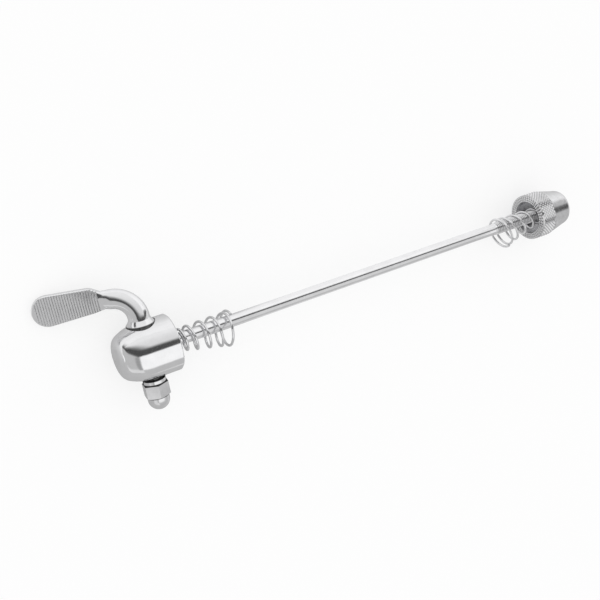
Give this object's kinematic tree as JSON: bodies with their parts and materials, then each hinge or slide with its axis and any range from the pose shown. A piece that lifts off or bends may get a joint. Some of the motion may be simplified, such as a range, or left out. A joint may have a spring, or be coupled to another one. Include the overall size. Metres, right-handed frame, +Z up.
{
  "type": "quick release skewer",
  "caption": "Bicycle wheel quick release skewer: thin rod with a bent cam lever in a domed housing, an adjusting nut at the other end and a conical spring beside each.",
  "frame": {"origin": "on the rod's axis, in the plane of the cam housing's clamping face", "axes": "+X along the rod from the cam housing to the adjusting nut, +Y along the lever's cross shaft towards the lever's neck, +Z up from the table that the skewer lies on"},
  "size_m": [0.2172, 0.0471, 0.0196],
  "materials": {
    "polished_plate": "polished nickel and chromium plate on steel",
    "satin_plate": "plated steel, knurled and part polished",
    "bright_rod": "bright drawn and zinc plated steel",
    "zinc_fastener": "bright zinc plated steel",
    "spring_wire": "bright plated spring wire"
  },
  "bodies": {
    "housing": {"cam_housing": "polished_plate"},
    "lever_assembly": {"lever": "polished_plate", "lock_washer": "zinc_fastener", "acorn_nut": "zinc_fastener"},
    "draw_rod": {"skewer_rod": "bright_rod", "lever_side_spring": "spring_wire"},
    "spring_carriage": {"nut_side_spring": "spring_wire"},
    "clamp_nut": {"adjusting_nut": "satin_plate"}
  },
  "joints": [
    {"name": "rod_draw", "type": "slide", "parent": "housing", "child": "draw_rod", "axis": [1, 0, 0], "range_m": [-0.00074, 0.00106]},
    {"name": "lever_pivot", "type": "hinge", "parent": "housing", "child": "lever_assembly", "pos_m": [-0.0091, 0, 0], "axis": [0, -1, 0], "range_deg": [-105.9, 74.3]},
    {"name": "nut_travel", "type": "slide", "parent": "draw_rod", "child": "spring_carriage", "axis": [1, 0, 0], "range_m": [-0.02, 0.0048]},
    {"name": "nut_turn", "type": "hinge", "parent": "spring_carriage", "child": "clamp_nut", "pos_m": [0.159, 0, 0], "axis": [1, 0, 0], "range_deg": [-9001, 2161]}
  ],
  "couplings": [
    {"joint": "lever_pivot", "follows": "rod_draw", "rad_per_m": -1745.3},
    {"joint": "nut_turn", "follows": "nut_travel", "rad_per_m": 7854}
  ]
}
